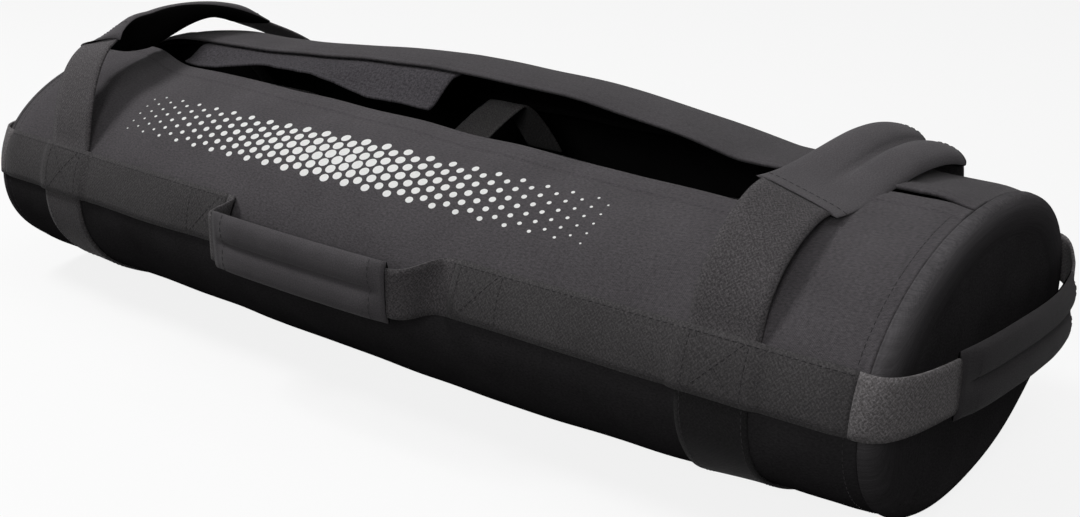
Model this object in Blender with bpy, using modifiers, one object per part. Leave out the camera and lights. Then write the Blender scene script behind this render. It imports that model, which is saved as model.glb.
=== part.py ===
# Filled sandbag trainer: a sewn outer bag with webbing handles and three sand-filled inner bags.
# X runs along the bag, Y points to the far side, Z is up, and Z = 0 is the floor it lies on.
import math

import bmesh
import bpy
from mathutils import Vector
from mathutils.geometry import interpolate_bezier

# Daylight between touching layers, between webbing's sewn and moving ends, and along the flap's fold
GAP = 0.0003
SEWN_GAP = 0.0006
HINGE_GAP = 0.0006

# Outer bag, at the middle of its length
BAG_LENGTH = 0.700
BAG_WIDTH = 0.279
BAG_HEIGHT = 0.170
SHELL_WALL = 0.0020
FLAT_DEPTH = 0.0050
END_BULGE = 0.0130
END_RIM = 0.0025
BARREL_SHARE = 0.03
ROUND_SHARE = 0.95
DOME_POWER = 3.3
ANGLE_STEP = math.radians(10.0)

# The filling lies unevenly: each end stands a little off the floor, and the top sinks towards the left
LIFT_START_X = 0.255
LEFT_END_LIFT = 0.0015
RIGHT_END_LIFT = 0.0055
LEFT_TOP_DROP = 0.0052

# Mouth in the top, and the slit that runs on from it to both end seams
MOUTH_HALF_LENGTH = 0.235
SLIT_CLOSED_AT = 0.312
NEAR_EDGE_LEFT_ANGLE = math.radians(76.0)
NEAR_EDGE_RIGHT_ANGLE = math.radians(66.5)
NEAR_EDGE_END_ANGLE = math.radians(86.2)
NEAR_EDGE_TURN_INSET = math.radians(3.5)
FAR_EDGE_ANGLE = math.radians(87.0)
HINGE_ANGLE = math.radians(140.0)

# Closure flap: how high its crest stands, and where along the bag
FLAP_RISE = 0.0225
FLAP_PEAK_X = -0.027
FLAP_REACH_LEFT = 0.315
FLAP_REACH_RIGHT = 0.235
FLAP_POWER_LEFT = 1.2
FLAP_POWER_RIGHT = 2.8
FLAP_FADE_RIGHT = 1.25
FLAP_CREST_SHARE = 0.75

# Hook tape under the near edge, and the loop tongue under the flap
TAPE_WALL = 0.0016
HOOK_TAPE_HALF_LENGTH = 0.222
HOOK_TAPE_INSET_ANGLE = math.radians(1.5)
HOOK_TAPE_SPAN_ANGLE = math.radians(15.5)
TONGUE_LEFT = -0.207
TONGUE_RIGHT = -0.014
TONGUE_REACH = 0.036
TONGUE_CLEARANCE = 0.003
TONGUE_DROP = 0.0035
TONGUE_WAVE = 0.009
TONGUE_WAVE_END = -0.045
TONGUE_ROOT_SHARE = 0.4
TONGUE_GAP = 0.0008

# Binding folded over each end seam, on the inside
BINDING_WIDTH = 0.013
BINDING_WALL = 0.0016
BINDING_INSET = 0.002

# Belt webbing round the bag
BELT_WIDTH = 0.032
BELT_WALL = 0.0016
BELT_MID_HEIGHT = 0.1025
BELT_END_INSET = 0.004
BELT_RAMP = 0.006

# Girth straps under the bag, which carry on as the top handles
STRAP_WIDTH = 0.042
STRAP_WALL = 0.0017
STRAP_X = 0.272
STRAP_ABOVE_BELT = 0.0012

# Padded sleeves
LOBE_THICKNESS = 0.0100
CREASE_SHARE = 0.50
EDGE_SHARE = 0.80
TOP_SLEEVE_WIDTH = 0.050
SIDE_SLEEVE_WIDTH = 0.038

# Top handles: a leg rises from the belt and bends over into the sleeve. A sleeve's end lies at a distance
# from the bag's middle and a rise over its top, climbs towards the arch's crest, and tilts down outwards
TOP_LEG_PULL = 0.036
TOP_SLEEVE_PULL = 0.018
LEG_LEAN = math.radians(10.0)

# Left top handle, standing up and leaning out over its end of the bag
LEFT_NEAR_Y = 0.085
LEFT_NEAR_RISE = 0.016
LEFT_NEAR_CLIMB = 0.022
LEFT_NEAR_TILT = math.radians(25.0)
LEFT_FAR_Y = 0.057
LEFT_FAR_RISE = 0.0085
LEFT_FAR_CLIMB = 0.025
LEFT_FAR_TILT = math.radians(8.0)
LEFT_SHIFT = 0.010

# Right top handle, lying over towards its end of the bag
RIGHT_NEAR_Y = 0.061
RIGHT_NEAR_RISE = 0.0050
RIGHT_NEAR_CLIMB = 0.008
RIGHT_NEAR_TILT = math.radians(20.0)
RIGHT_FAR_Y = 0.062
RIGHT_FAR_RISE = 0.0095
RIGHT_FAR_CLIMB = 0.002
RIGHT_FAR_TILT = math.radians(22.0)
RIGHT_SHIFT = 0.011
RIGHT_YAW_SHIFT = 0.009

# Near and far handles
SIDE_BASE_X = 0.098
SIDE_SLEEVE_HALF = 0.0735
SIDE_STAND_OFF = 0.0285
SIDE_BOW = 0.0015
SIDE_PULL = 0.019
SIDE_WEB_WIDTH = 0.030

# End handles
END_SLEEVE_HALF = 0.082
END_STAND_OFF = 0.027
END_BOW = 0.0090
END_PULL = 0.022
END_FLARE = 0.005

# Filler bags
FILLER_COUNT = 3
FILLER_END_ROOM = 0.011
FILLER_SIDE_ROOM = 0.0175
FILLER_HEAD_ROOM = 0.040
FILLER_SPACING = 0.006
FILLER_WALL = 0.0012
FILLER_POWER = 4.0
FILLER_FLAT = 0.003
MOUTH_SLOT_WIDTH = 0.170
MOUTH_SLOT_HEIGHT = 0.0056
MOUTH_TAPE_LENGTH = 0.018
MOUTH_TAPE_WIDTH = 0.130
MOUTH_TAPE_WALL = 0.0020
SAND_LEFT_SHARE = -0.9
SAND_RIGHT_SHARE = 0.8
SAND_INSET = 0.0030
PULL_STRAP_WIDTH = 0.030
PULL_STRAP_WALL = 0.0016
PULL_STRAP_X = 0.008
PULL_STRAP_HALF = 0.070
PULL_STRAP_RISE = 0.012

# How finely curved shapes are cut
RINGS = 4
WEB_CELLS = 4
LEG_STEPS = 7
SLEEVE_STEPS = 8
SLEEVE_POINTS = 8
FILLER_STATIONS = 12
FILLER_SIDES = 20

FILLER_LENGTH = (BAG_LENGTH - 2 * FILLER_END_ROOM + FILLER_SPACING) / FILLER_COUNT - FILLER_SPACING
FILLER_PITCH = FILLER_LENGTH + FILLER_SPACING
FILLER_WIDTH = BAG_WIDTH - 2 * (SHELL_WALL + FILLER_SIDE_ROOM)
FILLER_HEIGHT = BAG_HEIGHT - FILLER_HEAD_ROOM

HALF_LENGTH = BAG_LENGTH / 2
BASE_Z = STRAP_WALL + GAP
NEAR, FAR = -1, 1
LEFT, RIGHT = -1, 1

COLOURS = {
    "bag_fabric": (0.062, 0.060, 0.062, 0.85, 0.0),
    "webbing": (0.055, 0.053, 0.055, 0.80, 0.0),
    "sleeve_fabric": (0.060, 0.058, 0.060, 0.85, 0.0),
    "hook_and_loop": (0.075, 0.074, 0.080, 0.95, 0.0),
    "filler_fabric": (0.020, 0.020, 0.021, 0.75, 0.0),
    "sand": (0.52, 0.42, 0.28, 0.95, 0.0),
}


def clear_scene():
    for item in list(bpy.data.objects):
        bpy.data.objects.remove(item, do_unlink=True)


def make_collection(name):
    collection = bpy.data.collections.new(name)
    bpy.context.scene.collection.children.link(collection)
    return collection


def make_material(name):
    red, green, blue, roughness, metallic = COLOURS[name]
    material = bpy.data.materials.new(name)
    material.use_nodes = True
    shader = material.node_tree.nodes["Principled BSDF"]
    shader.inputs["Base Color"].default_value = (red, green, blue, 1.0)
    shader.inputs["Roughness"].default_value = roughness
    shader.inputs["Metallic"].default_value = metallic
    material.diffuse_color = (red, green, blue, 1.0)
    return material


clear_scene()
PARTS = make_collection("sandbag_trainer")
MATERIALS = {name: make_material(name) for name in COLOURS}


# Helpers for numbers

def lerp(low, high, share):
    return low + (high - low) * share


def ease(share):
    """0 below 0, 1 above 1, and a smooth step between them."""
    share = min(max(share, 0.0), 1.0)
    return share * share * (3 - 2 * share)


def spread(low, high, cells):
    return [lerp(low, high, i / cells) for i in range(cells + 1)]


def signed_power(value, power):
    return math.copysign(abs(value) ** power, value)


# The bag's cross-section: angle 0 is the near side, 90 degrees the top, 180 the far side

def section(x):
    """Half width, half height and centre height of the outer surface at x."""
    share = (x / HALF_LENGTH) ** 2
    end_lift, drop = (LEFT_END_LIFT, LEFT_TOP_DROP) if x < 0 else (RIGHT_END_LIFT, 0)
    bottom = BASE_Z - FLAT_DEPTH + end_lift * ease((abs(x) - LIFT_START_X) / (HALF_LENGTH - LIFT_START_X))
    half_height = (BAG_HEIGHT - drop * share - bottom) / 2
    return BAG_WIDTH / 2 * (1 - BARREL_SHARE * share), half_height, bottom + half_height


def corner_point(x, angle, lift):
    half_width, half_height, centre = section(x)
    cosine, sine = math.cos(angle), math.sin(angle)
    point = Vector((x, -half_width * signed_power(cosine, ROUND_SHARE),
                    centre + half_height * signed_power(sine, ROUND_SHARE)))
    normal = Vector((0, -signed_power(cosine, 2 - ROUND_SHARE) / half_width,
                     signed_power(sine, 2 - ROUND_SHARE) / half_height))
    point += normal.normalized() * lift
    point.z = max(point.z, BASE_Z - lift)
    return point


def surface_point(x, angle, lift=0):
    """A point `lift` outside the bag. Between the corners of the section it lies on a straight side."""
    step = math.floor(angle / ANGLE_STEP)
    low, high = step * ANGLE_STEP, (step + 1) * ANGLE_STEP
    share = (angle - low) / ANGLE_STEP
    return corner_point(x, low, lift).lerp(corner_point(x, high, lift), share)


def near_angle_at_height(x, height):
    half_width, half_height, centre = section(x)
    share = (height - centre) / half_height
    return math.asin(signed_power(share, 1 / ROUND_SHARE))


def corners_between(low, high):
    """The section's own corners that lie inside a range of angles."""
    margin = ANGLE_STEP / 10
    first = math.ceil((low + margin) / ANGLE_STEP)
    last = math.floor((high - margin) / ANGLE_STEP)
    return [step * ANGLE_STEP for step in range(first, last + 1)]


def mirrored(angle, side):
    """The same height on the near or the far side."""
    return angle if side == NEAR else math.pi - angle


# Helpers for meshes

def add_object(name, bm, material, pivot):
    bmesh.ops.translate(bm, verts=bm.verts, vec=-pivot.location)
    mesh = bpy.data.meshes.new(name)
    bm.to_mesh(mesh)
    bm.free()
    mesh.materials.append(MATERIALS[material])
    mesh.shade_smooth()
    part = bpy.data.objects.new(name, mesh)
    PARTS.objects.link(part)
    part.parent = pivot
    return part


def add_pivot(name, location):
    pivot = bpy.data.objects.new(name, None)
    pivot.location = location
    PARTS.objects.link(pivot)
    return pivot


def thicken(part, wall, offset):
    """Solidify: offset 1 builds outwards, -1 inwards and 0 to both sides."""
    modifier = part.modifiers.new("wall", "SOLIDIFY")
    modifier.thickness = wall
    modifier.offset = offset
    modifier.use_even_offset = True
    return part


def grid_mesh(rows, closed_columns=False, closed_rows=False, skip=None):
    """Quads between rows of points. skip(row, column) leaves a quad out."""
    bm = bmesh.new()
    verts = [[bm.verts.new(point) for point in row] for row in rows]
    row_cells = len(rows) if closed_rows else len(rows) - 1
    column_cells = len(rows[0]) if closed_columns else len(rows[0]) - 1
    for i in range(row_cells):
        for j in range(column_cells):
            if skip and skip(i, j):
                continue
            a, b = verts[i], verts[(i + 1) % len(rows)]
            k = (j + 1) % len(rows[0])
            bm.faces.new((a[j], a[k], b[k], b[j]))
    loose = [vert for vert in bm.verts if not vert.link_faces]
    bmesh.ops.delete(bm, geom=loose, context="VERTS")
    return bm


def face_towards(bm, outward):
    """Turns the whole sheet over if its first face looks away from outward(centre)."""
    bm.normal_update()
    bm.faces.ensure_lookup_table()
    face = bm.faces[0]
    if face.normal.dot(outward(face.calc_center_median())) < 0:
        bmesh.ops.reverse_faces(bm, faces=bm.faces)
    return bm


def from_axis(centre):
    """Outward from the bag's long axis."""
    return Vector((0, centre.y, centre.z - section(centre.x)[2]))


def layer(name, xs, columns, lift, wall, offset, material, pivot, shift=None, skip=None, closed=False):
    """A layer of cloth on the bag: columns(x) gives its angles, lift(x) its height over the surface."""
    rows = []
    for x in xs:
        row = [surface_point(x, angle, lift(x)) for angle in columns(x)]
        if shift:
            row = [point + shift(x, angle) for point, angle in zip(row, columns(x))]
        rows.append(row)
    bm = face_towards(grid_mesh(rows, closed_columns=closed, skip=skip), from_axis)
    return thicken(add_object(name, bm, material, pivot), wall, offset)


# Flap shape, shared by the sewn ends of the far panel and by the flap itself

def slit_share(x):
    return ease((abs(x) - MOUTH_HALF_LENGTH) / (SLIT_CLOSED_AT - MOUTH_HALF_LENGTH))


def near_edge(x):
    """The near edge runs slanting along the mouth, then turns in to the slit."""
    along = min(max((x + MOUTH_HALF_LENGTH) / (2 * MOUTH_HALF_LENGTH), 0.0), 1.0)
    return lerp(lerp(NEAR_EDGE_LEFT_ANGLE, NEAR_EDGE_RIGHT_ANGLE, along), NEAR_EDGE_END_ANGLE, slit_share(x))


def flap_lift(x, angle):
    """How far the far panel stands up over the bag's section."""
    if x < FLAP_PEAK_X:
        reach, power, fade = FLAP_REACH_LEFT, FLAP_POWER_LEFT, 1
    else:
        reach, power, fade = FLAP_REACH_RIGHT, FLAP_POWER_RIGHT, FLAP_FADE_RIGHT
    along = min(abs(x - FLAP_PEAK_X) / reach, 1.0)
    across = (HINGE_ANGLE - angle) / (HINGE_ANGLE - FAR_EDGE_ANGLE)
    across = min(max(across, 0.0), 1.0)
    height = FLAP_RISE * (1 - along ** power) ** fade * math.sin(across / FLAP_CREST_SHARE * math.pi / 2)
    return Vector((0, 0, height))


# Outer bag

def shell_stations():
    side = [HALF_LENGTH, SLIT_CLOSED_AT, STRAP_X + STRAP_WIDTH / 2, STRAP_X - STRAP_WIDTH / 2]
    return sorted(spread(-MOUTH_HALF_LENGTH, MOUTH_HALF_LENGTH, 8) + side + [-x for x in side])


def far_panel_angles():
    """From the slit to the line where the flap is sewn on."""
    return [FAR_EDGE_ANGLE] + corners_between(FAR_EDGE_ANGLE, HINGE_ANGLE) + [HINGE_ANGLE]


def near_panel_angles(x):
    """The near panel's last cells: from a corner below the whole of its edge, past the next one, to the edge."""
    low, high = corners_between(0, NEAR_EDGE_LEFT_ANGLE)[-2:]
    edge = near_edge(x)
    turn = min(high, edge - NEAR_EDGE_TURN_INSET)
    return [low, (low + turn) / 2, turn, (turn + edge) / 2, edge]


def shell_angles(x):
    turn = 2 * math.pi
    panel = near_panel_angles(x)
    return far_panel_angles() + corners_between(HINGE_ANGLE, turn + panel[0]) + [turn + a for a in panel]


def build_shell(pivot):
    stations = shell_stations()
    far_cells = len(far_panel_angles()) - 1

    def in_mouth(i, j):
        middle = (stations[i] + stations[i + 1]) / 2
        return abs(middle) < MOUTH_HALF_LENGTH and j < far_cells

    layer("shell_body", stations, shell_angles, lambda x: 0, SHELL_WALL, -1, "bag_fabric", pivot,
          shift=flap_lift, skip=in_mouth)


def build_end_panel(side, name, pivot):
    """A puffed end: a short rim, then rings that shrink towards the middle while they bulge out along X."""
    angles = [i * ANGLE_STEP for i in range(round(2 * math.pi / ANGLE_STEP))]
    seam = side * HALF_LENGTH
    centre = Vector((0, 0, section(seam)[2]))
    rings = [(HALF_LENGTH + GAP, 1)]
    for i in range(RINGS):
        turn = i / RINGS * math.pi / 2
        rings.append((HALF_LENGTH + GAP + lerp(END_RIM, END_BULGE, math.sin(turn)),
                      math.cos(turn) ** (2 / DOME_POWER)))
    rows = []
    for out, size in rings:
        row = []
        for angle in angles:
            point = centre.lerp(surface_point(seam, angle), size)
            point.x = side * out
            row.append(point)
        rows.append(row)
    bm = grid_mesh(rows, closed_columns=True)
    tip = bm.verts.new((side * (HALF_LENGTH + GAP + END_BULGE), 0, centre.z))
    bm.verts.ensure_lookup_table()
    ring = bm.verts[-1 - len(angles):-1]
    for i, vert in enumerate(ring):
        bm.faces.new((vert, ring[(i + 1) % len(ring)], tip))
    face_towards(bm, from_axis)
    thicken(add_object(name, bm, "bag_fabric", pivot), SHELL_WALL, -1)


def build_binding(side, name, pivot):
    outer = HALF_LENGTH - BINDING_INSET
    angles = [i * ANGLE_STEP for i in range(round(2 * math.pi / ANGLE_STEP))]
    xs = [side * outer, side * (outer - BINDING_WIDTH)]
    layer(name, xs, lambda x: angles, lambda x: -SHELL_WALL - SEWN_GAP, BINDING_WALL, -1, "webbing", pivot,
          closed=True)


# Closure

def build_flap(pivot):
    reach = MOUTH_HALF_LENGTH - GAP

    def angles(x):
        radius = section(x)[0]
        return far_panel_angles()[:-1] + [HINGE_ANGLE - HINGE_GAP / radius]

    layer("closure_flap", spread(-reach, reach, 12), angles, lambda x: 0, SHELL_WALL, -1, "bag_fabric",
          pivot, shift=flap_lift)


def build_hook_tape(pivot):
    def angles(x):
        high = near_edge(x) - HOOK_TAPE_INSET_ANGLE
        corner, _, turn = near_panel_angles(x)[:3]
        return [high - HOOK_TAPE_SPAN_ANGLE, corner, turn, high]

    xs = spread(-HOOK_TAPE_HALF_LENGTH, HOOK_TAPE_HALF_LENGTH, 8)
    layer("hook_tape", xs, angles, lambda x: -SHELL_WALL - GAP, TAPE_WALL, -1, "hook_and_loop", pivot)


def tongue_row(x):
    """Across the tongue: from its root, sewn under the flap, to its free lower edge."""
    edge, corner, behind = [surface_point(x, angle, -SHELL_WALL - TONGUE_GAP) + flap_lift(x, angle)
                            for angle in far_panel_angles()[:3]]
    row = [corner.lerp(behind, TONGUE_ROOT_SHARE), corner, edge]
    along = (x - TONGUE_LEFT) / (TONGUE_WAVE_END - TONGUE_LEFT)
    wave = math.sin(min(along, 1.0) * math.pi) ** 2
    reach = max(-TONGUE_REACH, surface_point(x, near_edge(x)).y + TONGUE_CLEARANCE)
    end = Vector((x, reach, BAG_HEIGHT - TONGUE_DROP + TONGUE_WAVE * wave))
    start = row[-1]
    for share in (1 / 3, 2 / 3, 1):
        point = start.lerp(end, share)
        point.z = lerp(start.z, end.z, ease(share))
        row.append(point)
    return row


def build_tongue(pivot):
    rows = [tongue_row(x) for x in spread(TONGUE_LEFT, TONGUE_RIGHT, 9)]
    bm = face_towards(grid_mesh(rows), lambda centre: Vector((0, 0, 1)))
    thicken(add_object("loop_tongue", bm, "hook_and_loop", pivot), TAPE_WALL, -1)


# Belt and girth straps

def belt_edges(x):
    return (near_angle_at_height(x, BELT_MID_HEIGHT - BELT_WIDTH / 2),
            near_angle_at_height(x, BELT_MID_HEIGHT + BELT_WIDTH / 2))


def belt_lift(x):
    """The belt steps over the girth strap that passes under it."""
    edge = STRAP_WIDTH / 2 + GAP
    over = 1 - ease((abs(abs(x) - STRAP_X) - edge) / BELT_RAMP)
    return GAP + over * (STRAP_WALL + GAP)


def build_belt(side, end, name, pivot):
    low, high = belt_edges(end * STRAP_X)
    inside = corners_between(low, high)

    def angles(x):
        edges = belt_edges(x)
        return [mirrored(a, side) for a in [edges[0]] + inside + [edges[1]]]

    step_in = STRAP_X - STRAP_WIDTH / 2 - GAP
    step_out = STRAP_X + STRAP_WIDTH / 2 + GAP
    xs = spread(SIDE_BASE_X, step_in - BELT_RAMP, 4) + [step_in, step_out]
    xs += [step_out + BELT_RAMP, HALF_LENGTH - BELT_END_INSET]
    layer(name, [end * x for x in xs], angles, belt_lift, BELT_WALL, 1, "webbing", pivot)


def strap_top_angle(x):
    return near_angle_at_height(x, BELT_MID_HEIGHT + BELT_WIDTH / 2 + STRAP_ABOVE_BELT)


def build_girth_strap(end, name, pivot):
    def angles(x):
        top = strap_top_angle(x)
        low, high = math.pi - top, 2 * math.pi + top
        return [low] + corners_between(low, high) + [high]

    xs = [end * (STRAP_X - STRAP_WIDTH / 2), end * (STRAP_X + STRAP_WIDTH / 2)]
    layer(name, xs, angles, lambda x: GAP, STRAP_WALL, 1, "webbing", pivot)


# Handles: a path of stations, each with a centre, a width direction and a width

def smooth_path(knots, steps):
    """Bezier spans through the knots. A knot is its point, the handle behind it and the handle ahead."""
    path = [knots[0][0]]
    for (start, _, ahead), (stop, behind, _), count in zip(knots, knots[1:], steps):
        path += interpolate_bezier(start, start + ahead, stop - behind, stop, count + 1)[1:]
    return path


def webbing(name, rows, wall, pivot):
    thicken(add_object(name, grid_mesh(rows), "webbing", pivot), wall, 0)


def flat_rows(stations):
    """Points across flat webbing at its stations (centre, width direction, width)."""
    return [[centre + across * width / 2 * share for share in spread(-1, 1, WEB_CELLS)]
            for centre, across, width in stations]


def lobe_profile():
    """Two padded rolls side by side: (across, outward, slot across, slot outward) as shares, once round."""
    outer = []
    for i in range(SLEEVE_POINTS + 1):
        across = -math.cos(i / SLEEVE_POINTS * math.pi)
        roll = math.sqrt(max(0, 1 - ((abs(across) - 0.5) / 0.5) ** 2))
        crease = CREASE_SHARE * math.sqrt(1 - across ** 2)
        outer.append((across, max(roll, crease)))
    back = [(across, -CREASE_SHARE * math.sqrt(max(0, 1 - across ** 4))) for across, _ in outer[-2:0:-1]]
    profile = []
    for across, out in outer + back:
        flat = min(max(across / EDGE_SHARE, -1), 1)
        side = 0 if abs(across) == 1 else math.copysign(1, out)
        profile.append((across, out, flat, side))
    return profile


def sleeve(name, stations, width, wall, pivot, outward):
    """A padded sleeve round the webbing's stations, open at both ends for the webbing."""
    bm = bmesh.new()
    profile = lobe_profile()
    outer_rings, slot_rings = [], []
    for i, (centre, across, web_width) in enumerate(stations):
        ahead = stations[min(i + 1, len(stations) - 1)][0]
        behind = stations[max(i - 1, 0)][0]
        up = across.cross(ahead - behind).normalized()
        if up.dot(outward) < 0:
            up = -up
        slot = web_width / 2 + GAP
        half_slot = wall / 2 + GAP
        outer_rings.append([bm.verts.new(centre + across * a * width / 2 + up * o * LOBE_THICKNESS / 2)
                            for a, o, _, _ in profile])
        slot_rings.append([bm.verts.new(centre + across * a * slot + up * o * half_slot)
                           for _, _, a, o in profile])
    count = len(profile)
    for rings in (outer_rings, slot_rings):
        for a, b in zip(rings, rings[1:]):
            for j in range(count):
                k = (j + 1) % count
                bm.faces.new((a[j], a[k], b[k], b[j]))
    for outer, slot in ((outer_rings[0], slot_rings[0]), (outer_rings[-1], slot_rings[-1])):
        for j in range(count):
            k = (j + 1) % count
            bm.faces.new((outer[j], outer[k], slot[k], slot[j]))
    bmesh.ops.recalc_face_normals(bm, faces=bm.faces)
    add_object(name, bm, "sleeve_fabric", pivot)


def build_handle(name, stations, rows, width, wall, pivot, outward):
    webbing(name + "_webbing", rows, wall, pivot)
    sleeve(name + "_sleeve", stations[LEG_STEPS:-LEG_STEPS], width, wall, pivot, outward)


def build_top_handle(end, name, near, far, shift, yaw):
    """An arch over the bag, which leans by shift and yaw towards its end. Near and far are its sleeve's ends,
    each as a distance from the bag's middle, a rise over its top, a climb and a tilt."""
    top = surface_point(end * STRAP_X, strap_top_angle(end * STRAP_X), GAP + STRAP_WALL / 2)
    near_base = Vector((0, top.y, top.z + SEWN_GAP))
    far_base = Vector((0, -near_base.y, near_base.z))
    near_grip = Vector((0, -near[0], BAG_HEIGHT + near[1]))
    far_grip = Vector((0, far[0], BAG_HEIGHT + far[1]))
    third = (near[0] + far[0]) / 3
    climb, fall = Vector((0, third, near[2])), Vector((0, third, -far[2]))
    up = Vector((0, math.sin(LEG_LEAN), math.cos(LEG_LEAN))) * TOP_LEG_PULL
    down = Vector((0, up.y, -up.z))
    knots = [(near_base, up, up), (near_grip, climb.normalized() * TOP_SLEEVE_PULL, climb),
             (far_grip, fall, fall.normalized() * TOP_SLEEVE_PULL), (far_base, down, down)]
    path = smooth_path(knots, [LEG_STEPS, SLEEVE_STEPS, LEG_STEPS])
    stations = []
    for i, point in enumerate(path):
        share = ease(min(i, len(path) - 1 - i) / LEG_STEPS)
        along = min(max((point.y + near[0]) / (near[0] + far[0]), 0.0), 1.0)
        tilt = share * lerp(near[3], far[3], along)
        x = STRAP_X + share * (shift + lerp(-yaw, yaw, along))
        stations.append((Vector((end * x, point.y, point.z)),
                         Vector((math.cos(tilt) * end, 0, -math.sin(tilt))), STRAP_WIDTH))
    pivot = add_pivot(name + "_hinge", Vector((end * STRAP_X, 0, near_base.z)))
    build_handle(name, stations, flat_rows(stations), TOP_SLEEVE_WIDTH, STRAP_WALL, pivot, Vector((0, 0, 1)))


def belt_end(x):
    """The belt's cross-section at x on the near side, from its lower to its upper edge."""
    low, high = belt_edges(x)
    angles = [low] + corners_between(low, high) + [high]
    return [surface_point(x, angle, belt_lift(x) + BELT_WALL / 2) for angle in angles]


def middle_of(row):
    return (row[0] + row[-1]) / 2


def upright(path, base):
    """Stations and rows of webbing that leaves the belt's curved end and turns flat and upright."""
    centre = middle_of(base)
    full = (base[-1] - base[0]).length
    stations, rows = [], []
    for i, point in enumerate(path):
        share = ease(min(i, len(path) - 1 - i) / LEG_STEPS)
        side = -math.copysign(1, point.y)
        row = []
        for corner in base:
            along = (corner - base[0]).length / full - 1 / 2
            curved = Vector((0, side * (corner.y - centre.y), corner.z - centre.z))
            row.append(point + curved.lerp(Vector((0, 0, along * SIDE_WEB_WIDTH)), share))
        rows.append(row)
        stations.append((point, (row[-1] - row[0]).normalized(), (row[-1] - row[0]).length))
    return stations, rows


def arched(knots):
    """Half a handle's knots, up to its sleeve's end, mirrored in Y to the whole handle."""
    def flip(vector):
        return Vector((vector.x, -vector.y, vector.z))

    def back(vector):
        return Vector((-vector.x, vector.y, -vector.z))

    return knots + [(flip(p), back(ahead), back(behind)) for p, behind, ahead in knots[::-1]]


def build_side_handle(side, name):
    base = belt_end(SIDE_BASE_X)
    middle = middle_of(base)
    out = middle.y - SIDE_STAND_OFF
    pull = Vector((SIDE_PULL, 0, 0))
    bow = Vector((SIDE_SLEEVE_HALF * 2 / 3, -SIDE_BOW * 4 / 3, 0))
    knots = [(Vector((-SIDE_BASE_X + SEWN_GAP, middle.y, middle.z)), pull, pull),
             (Vector((-SIDE_SLEEVE_HALF, out, middle.z)), pull, bow),
             (Vector((SIDE_SLEEVE_HALF, out, middle.z)), Vector((bow.x, -bow.y, 0)), pull),
             (Vector((SIDE_BASE_X - SEWN_GAP, middle.y, middle.z)), pull, pull)]
    path = [Vector((p.x, -side * p.y, p.z)) for p in smooth_path(knots, [LEG_STEPS, SLEEVE_STEPS, LEG_STEPS])]
    pivot = add_pivot(name + "_hinge", Vector((0, -side * middle.y, middle.z)))
    build_handle(name, *upright(path, base), SIDE_SLEEVE_WIDTH, BELT_WALL, pivot, Vector((0, side, 0)))


def build_end_handle(end, name):
    base_x = HALF_LENGTH - BELT_END_INSET
    base = belt_end(end * base_x)
    middle = middle_of(base)
    grip = Vector((HALF_LENGTH + END_STAND_OFF, -END_SLEEVE_HALF, middle.z))
    pull = Vector((END_PULL, -END_FLARE, 0))
    bow = Vector((END_BOW * 4 / 3, END_SLEEVE_HALF * 2 / 3, 0))
    knots = arched([(Vector((base_x + SEWN_GAP, middle.y, middle.z)), pull, pull),
                    (grip, bow.normalized() * END_PULL, bow)])
    path = [Vector((end * p.x, p.y, p.z)) for p in smooth_path(knots, [LEG_STEPS, SLEEVE_STEPS, LEG_STEPS])]
    pivot = add_pivot(name + "_hinge", Vector((end * base_x, 0, middle.z)))
    build_handle(name, *upright(path, base), SIDE_SLEEVE_WIDTH, BELT_WALL, pivot, Vector((end, 0, 0)))


# Filler bags

def filler_centre():
    return BASE_Z + SHELL_WALL + GAP + FILLER_HEIGHT / 2 - FILLER_FLAT


def filler_row(x, along, inset):
    """One ring of the pillow: along runs from -1 at the closed end to 1 at the mouth."""
    full = (1 - abs(along) ** FILLER_POWER) ** 0.5
    half_width = lerp(MOUTH_SLOT_WIDTH / 2, FILLER_WIDTH / 2, full) - inset
    half_height = lerp(MOUTH_SLOT_HEIGHT / 2, FILLER_HEIGHT / 2, full) - inset
    centre = filler_centre()
    floor = centre - FILLER_HEIGHT / 2 + FILLER_FLAT + inset
    row = []
    for i in range(FILLER_SIDES):
        angle = i / FILLER_SIDES * 2 * math.pi
        row.append(Vector((x, -half_width * signed_power(math.cos(angle), ROUND_SHARE),
                           max(centre + half_height * signed_power(math.sin(angle), ROUND_SHARE), floor))))
    return row


def pillow(middle, left_share, right_share, inset, open_mouth):
    """A filler bag's surface, closed at its left end. Shares -1 and 1 are its two ends."""
    shares = [-math.cos(i / FILLER_STATIONS * math.pi) for i in range(FILLER_STATIONS + 1)]
    rows = [filler_row(middle + FILLER_LENGTH / 2 * share, share, inset) for share in shares
            if left_share <= share <= right_share]
    bm = grid_mesh(rows, closed_columns=True)
    bm.verts.ensure_lookup_table()
    bm.faces.new(bm.verts[:FILLER_SIDES])
    if not open_mouth:
        bm.faces.new(bm.verts[-FILLER_SIDES:])
    bmesh.ops.recalc_face_normals(bm, faces=bm.faces)
    return face_towards(bm, lambda centre: centre - Vector((middle, 0, filler_centre())))


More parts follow.
